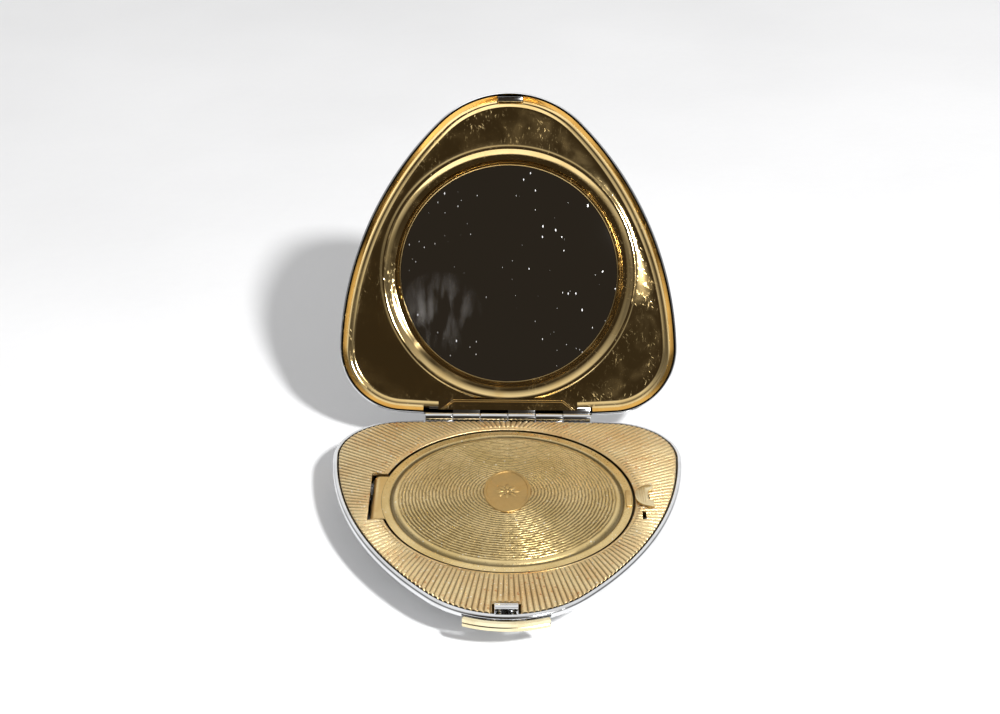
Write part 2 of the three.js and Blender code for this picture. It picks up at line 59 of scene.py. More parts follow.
def caseArcs():
    o = caseOutline
    rear = Vector((0, o["length"] / 2 - o["rearRadius"], 0))
    cornerX = o["width"] / 2 - o["cornerRadius"]
    reach = o["rearRadius"] - o["cornerRadius"]
    corner = Vector((cornerX, rear.y + math.sqrt(reach ** 2 - cornerX ** 2), 0))
    front = Vector((0, o["frontRadius"] - o["length"] / 2, 0))
    ra, rb = o["sideRadius"] - o["cornerRadius"], o["sideRadius"] - o["frontRadius"]
    gap = front - corner
    along = (ra * ra - rb * rb + gap.length_squared) / (2 * gap.length)
    across = math.sqrt(ra * ra - along * along)
    foot = corner + gap.normalized() * along
    step = Vector((-gap.y, gap.x, 0)).normalized() * across
    side = min(foot + step, foot - step, key=lambda p: p.x)
    a = math.atan2(front.y - side.y, front.x - side.x)
    b = math.atan2(corner.y - side.y, corner.x - side.x)
    c = math.atan2(corner.y - rear.y, corner.x - rear.x)
    flip = Vector((-1, 1, 1))
    return [
        (side, o["sideRadius"], a, b),
        (corner, o["cornerRadius"], b, c),
        (rear, o["rearRadius"], c, math.pi - c),
        (corner * flip, o["cornerRadius"], math.pi - c, math.pi - b),
        (side * flip, o["sideRadius"], math.pi - b, math.pi - a),
        (front, o["frontRadius"], math.pi - a, 2 * math.pi + a),
    ]


arcs = caseArcs()
arcLengths = [radius * (end - start) for _, radius, start, end in arcs]


def arcSteps(count):
    # steps of each arc, so that count steps of near equal length go right round
    done, total, steps = 0, 0.0, []
    for length in arcLengths:
        total += length
        upTo = round(count * total / sum(arcLengths))
        steps.append(upTo - done)
        done = upTo
    return steps


def caseRow(inset, z, count=360):
    # one closed row of points along the case outline, made by spinning a vertex round each arc
    bm = bmesh.new()
    centre, radius, start, _ = arcs[0]
    reach = radius - inset
    tip = bm.verts.new((centre.x + reach * math.cos(start), centre.y + reach * math.sin(start), z))
    for (centre, _, start, end), steps in zip(arcs, arcSteps(count)):
        bmesh.ops.spin(bm, geom=[tip], cent=centre, axis=(0, 0, 1), angle=end - start, steps=steps)
        bm.verts.ensure_lookup_table()
        tip = bm.verts[-1]
    row = [v.co.copy() for v in bm.verts][:-1]
    bm.free()
    return row


def roundRow(radius, z, centre, like):
    # the same row pushed onto a circle
    made = []
    for p in like:
        out = (p - centre).to_2d().normalized() * radius
        made.append(Vector((centre.x + out.x, centre.y + out.y, z)))
    return made


def growRow(bm, row, places):
    # extrudes a closed row of vertices and moves the new ones to their places
    pairs = zip(row, row[1:] + row[:1])
    edges = [bm.edges.get(pair) or bm.edges.new(pair) for pair in pairs]
    made = bmesh.ops.extrude_edge_only(bm, edges=edges)["geom"]
    new = {v for v in made if isinstance(v, bmesh.types.BMVert)}
    grown = [next(e.other_vert(v) for e in v.link_edges if e.other_vert(v) in new) for v in row]
    for v, place in zip(grown, places):
        v.co = place
    return grown


def loftRows(rows, closeOnItself=False, marks=None):
    # marks gives each point of each row a share of painted shade, kept as an attribute
    bm = bmesh.new()
    layer = bm.verts.layers.float.new("paintedShade")
    row = first = [bm.verts.new(p) for p in rows[0]]
    for k, places in enumerate(rows):
        row = growRow(bm, row, places) if k else row
        for v, share in zip(row, marks[k] if marks else []):
            v[layer] = share
    if closeOnItself:
        last = growRow(bm, row, rows[0])
        bmesh.ops.weld_verts(bm, targetmap=dict(zip(last, first)))
    else:
        for end in (first, row):
            cap = bmesh.ops.contextual_create(bm, geom=end)["faces"]
            bmesh.ops.poke(bm, faces=cap)
    bmesh.ops.recalc_face_normals(bm, faces=bm.faces)
    return bm


def smoothProfile(points, steps=6):
    # a curve through [x, z] points, thinned to even steps between each two
    p = [Vector((a, 0, b)) for a, b in points]
    p = [p[0]] + p + [p[-1]]
    out = [p[1]]
    for i in range(1, len(p) - 2):
        h1 = p[i] + (p[i + 1] - p[i - 1]) / 6
        h2 = p[i + 1] - (p[i + 2] - p[i]) / 6
        out += interpolate_bezier(p[i], h1, h2, p[i + 1], steps + 1)[1:]
    return [(q.x, q.z) for q in out]


def spunBody(profile, centre, steps=192, closed=False):
    # a profile of [radius, z] pairs spun right round a vertical axis
    bm = bmesh.new()
    points = [bm.verts.new((centre.x + r, centre.y, z)) for r, z in profile]
    pairs = list(zip(points, points[1:] + (points[:1] if closed else [])))
    edges = [bm.edges.new(pair) for pair in pairs if pair[0] is not pair[1]]
    bmesh.ops.spin(bm, geom=points + edges, cent=centre, axis=(0, 0, 1), angle=2 * math.pi,
                   steps=steps, use_merge=True)
    bmesh.ops.remove_doubles(bm, verts=bm.verts, dist=1e-5)
    bmesh.ops.dissolve_degenerate(bm, edges=bm.edges, dist=1e-6)
    bmesh.ops.recalc_face_normals(bm, faces=bm.faces)
    return bm


def block(bm, low, high, bevel=0.0, segments=2):
    # a box between two corners, with its edges rounded
    low, high = Vector(low), Vector(high)
    made = bmesh.ops.create_cube(bm, size=1)["verts"]
    bmesh.ops.scale(bm, verts=made, vec=high - low)
    bmesh.ops.translate(bm, verts=made, vec=(low + high) / 2)
    if bevel:
        edges = {e for v in made for e in v.link_edges}
        bmesh.ops.bevel(bm, geom=list(edges), offset=bevel, segments=segments, profile=0.5,
                        affect="EDGES", material=-1)


def rod(bm, radius, start, end, bevel=0.0, sides=32):
    # a round bar between two points, with its end rims rounded
    start, end = Vector(start), Vector(end)
    length = (end - start).length
    turn = Vector((0, 0, 1)).rotation_difference(end - start).to_matrix().to_4x4()
    place = Matrix.Translation((start + end) / 2) @ turn
    made = bmesh.ops.create_cone(bm, cap_ends=True, segments=sides, radius1=radius, radius2=radius,
                                 depth=length, matrix=place)["verts"]
    if bevel:
        caps = {e for v in made for e in v.link_edges
                if any(len(f.verts) > 4 for f in e.link_faces)}
        bmesh.ops.bevel(bm, geom=list(caps), offset=bevel, segments=3, profile=0.5,
                        affect="EDGES", material=-1)


lidTurn = (Matrix.Translation((0, hinge["y"], hinge["z"]))
           @ Matrix.Rotation(-math.radians(hinge["openDeg"]), 4, "X")
           @ Matrix.Translation((0, -hinge["y"], -hinge["z"])))


def finishPiece(bm, name, body, material, nodes=(), sharpDeg=35, cutters=()):
    # scales to metres, opens the lid's pieces, carves, shades and hands the piece to the frame
    place = Matrix.Scale(mm, 4)
    if body == "lid":
        place = place @ lidTurn
    mesh = bpy.data.meshes.new(name)
    bm.to_mesh(mesh)
    bm.free()
    mesh.transform(place)
    piece = bpy.data.objects.new(name, mesh)
    bpy.context.scene.collection.objects.link(piece)
    if cutters:
        carve(piece, cutters, place)
    piece.data.shade_smooth()
    piece.data.set_sharp_from_angle(angle=math.radians(sharpDeg))
    piece.data.materials.clear()
    piece.data.materials.append(material)
    for node in nodes:
        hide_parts(node)
    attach(piece, body)
    return piece


def carve(piece, cutters, place):
    # cuts boxes given by two corners, or shapes made by a function, out of the piece
    bm = bmesh.new()
    for cutter in cutters:
        if callable(cutter):
            cutter(bm)
        else:
            block(bm, *cutter)
    bmesh.ops.recalc_face_normals(bm, faces=bm.faces)
    mesh = bpy.data.meshes.new("cutter")
    bm.to_mesh(mesh)
    bm.free()
    mesh.transform(place)
    tool = bpy.data.objects.new("cutter", mesh)
    bpy.context.scene.collection.objects.link(tool)
    cut = piece.modifiers.new("cut", "BOOLEAN")
    cut.object, cut.operation, cut.solver = tool, "DIFFERENCE", "EXACT"
    bpy.context.view_layer.update()
    carved = piece.evaluated_get(bpy.context.evaluated_depsgraph_get())
    baked = bpy.data.meshes.new_from_object(carved)
    piece.modifiers.clear()
    piece.data = baked
    bpy.data.objects.remove(tool)


def feed(tree, node, inputs):
    # links what is a socket and sets what is a plain value
    for key, value in inputs.items():
        if isinstance(value, bpy.types.NodeSocket):
            tree.links.new(value, node.inputs[key])
        else:
            node.inputs[key].default_value = value


def add(tree, kind, inputs=None, **settings):
    node = tree.nodes.new("ShaderNode" + kind)
    for key, value in settings.items():
        setattr(node, key, value)
    feed(tree, node, inputs or {})
    return node


def calc(tree, operation, a, b=0.0, clamp=False):
    return add(tree, "Math", {0: a, 1: b}, operation=operation, use_clamp=clamp).outputs[0]


def ramp(tree, value, low, high, toLow=0.0, toHigh=1.0):
    return add(tree, "MapRange", {"Value": value, "From Min": low, "From Max": high,
                                  "To Min": toLow, "To Max": toHigh}).outputs["Result"]


def blend(tree, factor, a, b, how="MIX"):
    node = add(tree, "Mix", data_type="RGBA", blend_type=how)
    feed(tree, node, {0: factor, 6: a, 7: b})
    return node.outputs[2]


def rgb(r, g, b):
    # a colour given as it looks on screen, 0 to 255
    def linear(c):
        c /= 255
        return c / 12.92 if c <= 0.04045 else ((c + 0.055) / 1.055) ** 2.4
    return (linear(r), linear(g), linear(b), 1.0)


def newGroup(name, inputs, outputs):
    group = bpy.data.node_groups.new(name, "ShaderNodeTree")
    for label, kind, value in inputs:
        socket = group.interface.new_socket(label, in_out="INPUT", socket_type=kind)
        if value is not None:
            socket.default_value = value
    for label, kind in outputs:
        group.interface.new_socket(label, in_out="OUTPUT", socket_type=kind)
    return group, group.nodes.new("NodeGroupInput"), group.nodes.new("NodeGroupOutput")


def useGroup(tree, group, inputs):
    node = add(tree, "Group")
    node.node_tree = group
    feed(tree, node, inputs)
    return node.outputs


def makeHandling():
    # smudges and fine crossing scratches of a thing that is carried about
    group, given, out = newGroup(
        "handling",
        [("Vector", "NodeSocketVector", None), ("Scratch Scale", "NodeSocketFloat", 900.0),
         ("Scratch Amount", "NodeSocketFloat", 0.5), ("Angle", "NodeSocketFloat", 0.6)],
        [("Scratches", "NodeSocketFloat"), ("Smudge", "NodeSocketFloat"),
         ("Height", "NodeSocketFloat")])
    vector, scale = given.outputs["Vector"], given.outputs["Scratch Scale"]
    layers = []
    for k, tilt in enumerate((0.0, 1.9)):
        angle = calc(group, "ADD", given.outputs["Angle"], tilt)
        turned = add(group, "VectorRotate", {"Vector": vector, "Angle": angle},
                     rotation_type="Z_AXIS").outputs[0]
        squeezed = add(group, "VectorMath", {0: turned, 1: (1.0, 0.035, 0.3)},
                       operation="MULTIPLY").outputs[0]
        noise = add(group, "TexNoise", {"Vector": squeezed, "Scale": scale, "Detail": 2.0,
                                        "Roughness": 0.6}).outputs["Fac"]
        layers.append(ramp(group, noise, 0.60 + 0.03 * k, 0.72))
    lines = calc(group, "MAXIMUM", *layers)
    patches = add(group, "TexNoise", {"Vector": vector, "Scale": 70.0,
                                      "Detail": 3.0}).outputs["Fac"]
    worn = calc(group, "MULTIPLY", lines, ramp(group, patches, 0.42, 0.6))
    scratches = calc(group, "MULTIPLY", worn, given.outputs["Scratch Amount"], True)
    smudge = add(group, "TexNoise", {"Vector": vector, "Scale": 160.0, "Detail": 5.0,
                                     "Distortion": 0.6}).outputs["Fac"]
    group.links.new(scratches, out.inputs["Scratches"])
    group.links.new(ramp(group, smudge, 0.42, 0.68), out.inputs["Smudge"])
    group.links.new(calc(group, "MULTIPLY", scratches, -1.0), out.inputs["Height"])
    return group


def makeSpecks():
    # scattered spots of uneven size, each with its own tone
    group, given, out = newGroup(
        "specks",
        [("Vector", "NodeSocketVector", None), ("Scale", "NodeSocketFloat", 1500.0),
         ("Size", "NodeSocketFloat", 0.3), ("Share", "NodeSocketFloat", 0.3)],
        [("Mask", "NodeSocketFloat"), ("Tone", "NodeSocketFloat")])
    cells = add(group, "TexVoronoi", {"Vector": given.outputs["Vector"],
                                      "Scale": given.outputs["Scale"]})
    tones = add(group, "SeparateColor", {"Color": cells.outputs["Color"]})
    chosen = calc(group, "LESS_THAN", tones.outputs["Red"], given.outputs["Share"])
    size = calc(group, "MULTIPLY", given.outputs["Size"],
                ramp(group, tones.outputs["Green"], 0, 1, 0.4, 1))
    inner = calc(group, "MULTIPLY", size, 0.5)
    near = ramp(group, cells.outputs["Distance"], inner, size, 1.0, 0.0)
    group.links.new(calc(group, "MULTIPLY", near, chosen, True), out.inputs["Mask"])
    group.links.new(tones.outputs["Blue"], out.inputs["Tone"])
    return group


handling = makeHandling()
specks = makeSpecks()


def startMaterial(name, **shader):
    material = bpy.data.materials.new(name)
    material.use_nodes = True
    tree = material.node_tree
    tree.nodes.clear()
    shade = add(tree, "BsdfPrincipled", shader)
    add(tree, "OutputMaterial", {"Surface": shade.outputs[0]})
    place = add(tree, "TexCoord").outputs["Object"]
    return material, tree, shade, place


def bump(tree, height, distance, strength=1.0, below=None):
    inputs = {"Height": height, "Distance": distance, "Strength": strength}
    if below:
        inputs["Normal"] = below
    return add(tree, "Bump", inputs).outputs[0]


def plateMaterial(name, colour, dull, roughness, scratches, scale=900.0, ripple=0.0, angle=0.6):
    # bright plate: smudges dull it and fine scratches cross it
    material, tree, shade, place = startMaterial(name, Metallic=1.0)
    marks = useGroup(tree, handling, {"Vector": place, "Scratch Scale": scale,
                                      "Scratch Amount": scratches, "Angle": angle})
    tint = blend(tree, calc(tree, "MULTIPLY", marks["Smudge"], 0.5), colour, dull)
    rough = calc(tree, "ADD", ramp(tree, marks["Smudge"], 0, 1, roughness, roughness * 2.2),
                 calc(tree, "MULTIPLY", marks["Scratches"], 0.25))
    normal = bump(tree, marks["Height"], 0.00001)
    if ripple:
        slow = add(tree, "TexNoise", {"Vector": place, "Scale": 55.0, "Detail": 1.0}).outputs["Fac"]
        normal = bump(tree, slow, ripple, below=normal)
    tree.links.new(tint, shade.inputs["Base Color"])
    tree.links.new(rough, shade.inputs["Roughness"])
    tree.links.new(normal, shade.inputs["Normal"])
    return material


chromePlate = plateMaterial("chromePlate", (0.80, 0.81, 0.82, 1), (0.62, 0.62, 0.62, 1), 0.07, 0.5)
steelWire = plateMaterial("steelWire", (0.55, 0.55, 0.56, 1), (0.4, 0.39, 0.38, 1), 0.28, 0.6,
                          1500.0)
plainBrass = plateMaterial("plainBrass", rgb(226, 198, 140), rgb(188, 152, 92), 0.28, 0.5, 1200.0)
sealBrass = plateMaterial("sealBrass", rgb(204, 172, 112), rgb(170, 136, 80), 0.3, 0.5, 1200.0)
paleGilt = plateMaterial("paleGilt", rgb(246, 234, 196), rgb(214, 186, 130), 0.16, 0.5, 1200.0)
liningGilt = plateMaterial("liningGilt", rgb(244, 214, 152), rgb(226, 188, 118), 0.07, 0.85, 2600.0,
                           ripple=0.0006, angle=0.25)


def makeDeckGilt():
    material, tree, shade, place = startMaterial("deckGilt", Metallic=1.0)
    grain = add(tree, "TexNoise", {"Vector": place, "Scale": 2600.0, "Detail": 4.0,
                                   "Roughness": 0.7}).outputs["Fac"]
    cloud = add(tree, "TexNoise", {"Vector": place, "Scale": 120.0, "Detail": 4.0}).outputs["Fac"]
    tarnish = useGroup(tree, specks, {"Vector": place, "Scale": 1300.0, "Size": 0.55,
                                      "Share": 0.22})
    glints = useGroup(tree, specks, {"Vector": place, "Scale": 1500.0, "Size": 0.46, "Share": 0.22})
    paintedShade = add(tree, "Attribute", attribute_name="paintedShade").outputs["Fac"]
    base = blend(tree, ramp(tree, cloud, 0.35, 0.7), rgb(252, 230, 178), rgb(236, 202, 146))
    base = blend(tree, ramp(tree, grain, 0.4, 0.7, 0, 0.35), base, rgb(186, 142, 86))
    rust = blend(tree, tarnish["Tone"], rgb(190, 96, 40), rgb(214, 146, 74))
    rusted = calc(tree, "MULTIPLY", tarnish["Mask"], ramp(tree, cloud, 0.4, 0.65, 0.15, 0.85))
    base = blend(tree, rusted, base, rust)
    base = blend(tree, glints["Mask"], base, rgb(255, 246, 224))
    # painted shade: the attribute darkens the flute valleys, the open flute ends and the gap round
    # the inner lid to near black; in that gap it also stands for dust
    base = blend(tree, calc(tree, "MULTIPLY", paintedShade, 0.93, True), base, (0.012, 0.008, 0.004, 1))
    rough = calc(tree, "ADD", ramp(tree, grain, 0.3, 0.7, 0.25, 0.4),
                 calc(tree, "MULTIPLY", tarnish["Mask"], 0.2))
    tree.links.new(base, shade.inputs["Base Color"])
    tree.links.new(rough, shade.inputs["Roughness"])
    tree.links.new(bump(tree, grain, 0.00012), shade.inputs["Normal"])
    return material


# grooveIn, grooveOut and rimGap give radii in metres where the turned gilt gets painted shade
engraving = {"ringPitch": 0.75, "petals": 36, "swing": 0.05, "scale": 3.0, "scalePetals": 12,
             "depth": 0.00014, "edge": 24.4, "grooveIn": (0.0250, 0.0253),
             "grooveOut": (0.0261, 0.0258), "rimGap": (0.02778, 0.0279)}


def makeTurnedGilt():
    # engine turning: two sets of waved rings that cross and leave a net of scales
    material, tree, shade, place = startMaterial("turnedGilt", Metallic=1.0)
    e = engraving
    centred = add(tree, "VectorMath", {0: place, 1: wellCentre * mm},
                  operation="SUBTRACT").outputs[0]
    parts = add(tree, "SeparateXYZ", {0: centred})
    angle = calc(tree, "ARCTAN2", parts.outputs["Y"], parts.outputs["X"])
    flat = add(tree, "CombineXYZ", {"X": parts.outputs["X"], "Y": parts.outputs["Y"]}).outputs[0]
    radius = add(tree, "VectorMath", {0: flat}, operation="LENGTH").outputs["Value"]
    turns = calc(tree, "MULTIPLY", radius, math.pi / (e["ringPitch"] * mm))
    petals = calc(tree, "SINE", calc(tree, "MULTIPLY", angle, float(e["petals"])))
    sway = calc(tree, "MULTIPLY", petals, e["swing"] * math.pi)
    rings = calc(tree, "ABSOLUTE", calc(tree, "SINE", calc(tree, "ADD", turns, sway)))
    wide = calc(tree, "MULTIPLY", radius, math.pi / (e["scale"] * mm))
    lean = calc(tree, "MULTIPLY", angle, float(e["scalePetals"]))
    waves = [calc(tree, "ABSOLUTE", calc(tree, "SINE", calc(tree, how, wide, lean)))
             for how in ("ADD", "SUBTRACT")]
    net = ramp(tree, calc(tree, "MINIMUM", *waves), 0.0, 0.35, 0.45, 1.0)
    inside = calc(tree, "MULTIPLY", ramp(tree, radius, e["edge"] * mm, (e["edge"] - 0.5) * mm),
                  calc(tree, "GREATER_THAN", parts.outputs["Z"], 0.0), True)
    cut = calc(tree, "MULTIPLY", calc(tree, "MULTIPLY", rings, net), inside)
    grain = add(tree, "TexNoise", {"Vector": place, "Scale": 2200.0, "Detail": 4.0,
                                   "Roughness": 0.7}).outputs["Fac"]
    cloud = add(tree, "TexNoise", {"Vector": place, "Scale": 90.0, "Detail": 4.0}).outputs["Fac"]
    marks = useGroup(tree, handling, {"Vector": place, "Scratch Scale": 1000.0,
                                      "Scratch Amount": 0.6, "Angle": 1.1})
    base = blend(tree, ramp(tree, cloud, 0.35, 0.68), rgb(240, 216, 160), rgb(214, 188, 128))
    base = blend(tree, calc(tree, "MULTIPLY", ramp(tree, cut, 0.6, 0.0, 0, 0.85), inside), base,
                 rgb(112, 88, 44))
    glints = useGroup(tree, specks, {"Vector": place, "Scale": 1500.0, "Size": 0.4, "Share": 0.12})
    base = blend(tree, glints["Mask"], base, rgb(255, 248, 226))
    # painted shade: the groove between the disc and the flange, and the flange's outer edge by the
    # gap, are darkened to near black
    groove = calc(tree, "MULTIPLY", ramp(tree, radius, *e["grooveIn"]),
                  ramp(tree, radius, *e["grooveOut"]))
    gap = ramp(tree, radius, *e["rimGap"])
    base = blend(tree, calc(tree, "MAXIMUM", calc(tree, "MULTIPLY", groove, 0.75), gap, True), base,
                 (0.02, 0.013, 0.006, 1))
    rough = calc(tree, "ADD", ramp(tree, grain, 0.3, 0.7, 0.24, 0.38),
                 calc(tree, "MULTIPLY", marks["Scratches"], 0.15))
    normal = bump(tree, cut, e["depth"])
    normal = bump(tree, grain, 0.00003, below=normal)
    tree.links.new(base, shade.inputs["Base Color"])
    tree.links.new(rough, shade.inputs["Roughness"])
    tree.links.new(normal, shade.inputs["Normal"])
    return material


rubbed = {"at": (-0.0165, 0.0575, 0.0265), "clear": 0.011, "full": 0.001}


def makeMirror():
    # silvered glass with flecks of powder that fell down it and one rubbed smear
    material, tree, shade, place = startMaterial("mirrorSilver")
    shade.inputs["Coat Weight"].default_value = 0.3
    streaked = add(tree, "VectorMath", {0: place, 1: (1.0, 0.45, 0.45)},
                   operation="MULTIPLY").outputs[0]
    dust = useGroup(tree, specks, {"Vector": streaked, "Scale": 640.0, "Size": 0.13, "Share": 0.3})
    fine = useGroup(tree, specks, {"Vector": streaked, "Scale": 1300.0, "Size": 0.18,
                                   "Share": 0.12})
    drawn = add(tree, "VectorMath", {0: place, 1: (1.0, 0.3, 0.3)}, operation="MULTIPLY").outputs[0]
    smear = add(tree, "TexNoise", {"Vector": drawn, "Scale": 300.0, "Detail": 5.0}).outputs["Fac"]
    spot = add(tree, "VectorMath", {0: place, 1: rubbed["at"]}, operation="DISTANCE")
    near = ramp(tree, spot.outputs["Value"], rubbed["clear"], rubbed["full"])
    haze = calc(tree, "MULTIPLY", ramp(tree, smear, 0.45, 0.8, 0.0, 0.35), near, True)
    powder = calc(tree, "MAXIMUM", calc(tree, "MULTIPLY", dust["Mask"], 0.75),
                  calc(tree, "MULTIPLY", fine["Mask"], 0.4))
    cover = calc(tree, "MAXIMUM", powder, haze, True)
    base = blend(tree, cover, (0.62, 0.60, 0.57, 1), (0.75, 0.76, 0.82, 1))
    tree.links.new(base, shade.inputs["Base Color"])
    tree.links.new(calc(tree, "SUBTRACT", 1.0, cover), shade.inputs["Metallic"])
    tree.links.new(ramp(tree, cover, 0, 0.5, 0.015, 0.6), shade.inputs["Roughness"])
    return material


def makeGauze():
    material, tree, shade, place = startMaterial("sifterGauze", Roughness=0.9)
    parts = add(tree, "SeparateXYZ", {0: place})
    waves = [calc(tree, "MULTIPLY", parts.outputs[axis], 9000.0) for axis in ("X", "Y")]
    threads = [calc(tree, "ABSOLUTE", calc(tree, "SINE", wave)) for wave in waves]
    weave = calc(tree, "MAXIMUM", *threads)
    powder = add(tree, "TexNoise", {"Vector": place, "Scale": 300.0, "Detail": 4.0}).outputs["Fac"]
    base = blend(tree, ramp(tree, powder, 0.4, 0.65), rgb(240, 230, 212), rgb(226, 192, 158))
    base = blend(tree, ramp(tree, weave, 0.75, 0.3), base, rgb(190, 160, 128))
    tree.links.new(base, shade.inputs["Base Color"])
    tree.links.new(bump(tree, weave, 0.00005), shade.inputs["Normal"])
    return material


def makeCard():
    material, tree, shade, place = startMaterial("backingCard", Roughness=0.95)
    fibre = add(tree, "TexNoise", {"Vector": place, "Scale": 1800.0, "Detail": 5.0}).outputs["Fac"]
    tone = blend(tree, fibre, rgb(120, 112, 98), rgb(176, 166, 148))
    tree.links.new(tone, shade.inputs["Base Color"])
    tree.links.new(bump(tree, fibre, 0.00005), shade.inputs["Normal"])
    return material


deckGilt, turnedGilt, mirrorSilver = makeDeckGilt(), makeTurnedGilt(), makeMirror()
sifterGauze, backingCard = makeGauze(), makeCard()
print("materials made")


baseShape = {
    "bowl": [(14, 0), (12, 0.5), (10, 1.5), (7.5, 2.95), (5, 4.45), (3, 5.65), (1.6, 6.5),
             (0.6, 7.1)],
    "bowlRear": 0.4,
    "wall": 0.35,
    "edge": [(0.6, 7.1), (0.12, 7.65), (0.02, 8.2), (0.12, 8.6), (0.38, 8.84), (0.72, 8.95),
             (0.95, 8.98)],
    "rim": [(1.04, 8.92), (1.07, 8.75), (1.0, 8.5), (0.8, 8.3), (0.65, 7.9)],
    "notchHalf": 19.86,
    "notchZ": 7.55,
    "window": {"halfWidth": 10.3, "low": 5.6, "high": 8.4, "inner": 4, "outer": 3},
}


def notchRear(bm, half, limit, above):
    # lowers or raises the rear wall between two upright cuts, for the knuckles
    for x in (-half - 0.03, -half, half, half + 0.03):
        geom = bm.verts[:] + bm.edges[:] + bm.faces[:]
        bmesh.ops.bisect_plane(bm, geom=geom, plane_co=(x, 0, 0), plane_no=(1, 0, 0))
    for v in bm.verts:
        if abs(v.co.x) < half + 0.01 and v.co.y > 30:
            v.co.z = min(v.co.z, limit) if above else max(v.co.z, limit)


def frontBand(bm, inner, outer, halfWidth, low, high):
    # a slab bent round the front of the case, from a spun strip
    centreY = caseOutline["frontRadius"] - caseOutline["length"] / 2
    half = math.asin(halfWidth / outer)
    corners = [(inner, low), (outer, low), (outer, high), (inner, high)]
    start = -math.pi / 2 - half
    ring = [bm.verts.new((r * math.cos(start), centreY + r * math.sin(start), z))
            for r, z in corners]
    face = bm.faces.new(ring)
    bmesh.ops.spin(bm, geom=[face], cent=(0, centreY, 0), axis=(0, 0, 1), angle=2 * half, steps=40)


def bowlRow(inset, z, wall=0.0):
    # a row of the bowl, which is shallow at the front and sides and steeper at the rear
    row = []
    for p, q in zip(caseRow(0, z), caseRow(1, z)):
        behind = min(max(p.y / 30, 0), 1)
        share = 1 + (baseShape["bowlRear"] - 1) * behind * behind * (3 - 2 * behind)
        row.append(p + (q - p) * (inset * share + wall))
    return row


def makeBase():
    b = baseShape
    bowl = smoothProfile(b["bowl"], 3)
    rows = [bowlRow(inset, z) for inset, z in bowl]
    rows += [caseRow(inset, z) for inset, z in smoothProfile(b["edge"], 3)[3:] + b["rim"]]
    rows += [bowlRow(inset, z + 0.4, b["wall"]) for inset, z in reversed(b["bowl"])]
    return loftRows(rows)


baseBm = makeBase()
notchRear(baseBm, baseShape["notchHalf"], baseShape["notchZ"], True)
frontR = caseOutline["frontRadius"]


def cutWindow(bm):
    # the thumb button's window
    w = baseShape["window"]
    frontBand(bm, frontR - w["inner"], frontR + w["outer"], w["halfWidth"], w["low"], w["high"])


finishPiece(baseBm, "baseCase", "base", chromePlate, ["base_shell"], cutters=[cutWindow])

lidShape = {
    "outside": [(0.04, 0.5), (0, 1.2), (0.05, 2.4), (0.4, 3.6), (1.6, 4.8), (3.9, 5.55),
                (8.5, 5.85)],
    "rim": [(0.5, 0.4), (0.42, 0.12), (0.28, 0.05), (0.12, 0.14)],
    "inside": [(8.5, 5.3), (4.4, 5.05), (2.2, 4.4), (0.9, 3.2), (0.52, 2)],
    "crown": [(22, 6.02), (14, 6.14), (6, 6.2)],
    "ceiling": [(6, 5.7), (18, 5.6)],
}
pattern = caseRow(0, 0)


def lidCircles(profile):
    # round rows about the mirror's centre, with heights measured from the rim
    return [roundRow(r, z + rimZ, mirrorCentre, pattern) for r, z in profile]


def lidOutlines(profile):
    return [caseRow(inset, z + rimZ) for inset, z in profile]


lidBm = loftRows(lidCircles(lidShape["ceiling"]) + lidOutlines(lidShape["inside"])
                 + lidOutlines(lidShape["rim"]) + lidOutlines(smoothProfile(lidShape["outside"]))
                 + lidCircles(lidShape["crown"]))
notchRear(lidBm, baseShape["notchHalf"], rimZ + 1.45, False)
finishPiece(lidBm, "lidCase", "lid", chromePlate, ["lid_shell"])
print("case shells made")


deckShape = {
    "flutes": 184,
    "perFlute": 6,
    "edgeInset": 1.35,
    "relief": 0.32,
    "edgeZ": 8.9,
    "ringZ": 9.2,
    "ringRadius": 29.15,
    "ringShift": 0.4,
}


def fluteHeight(i, perFlute):
    t = (i % perFlute) / perFlute
    return 1 - (2 * t - 1) ** 2


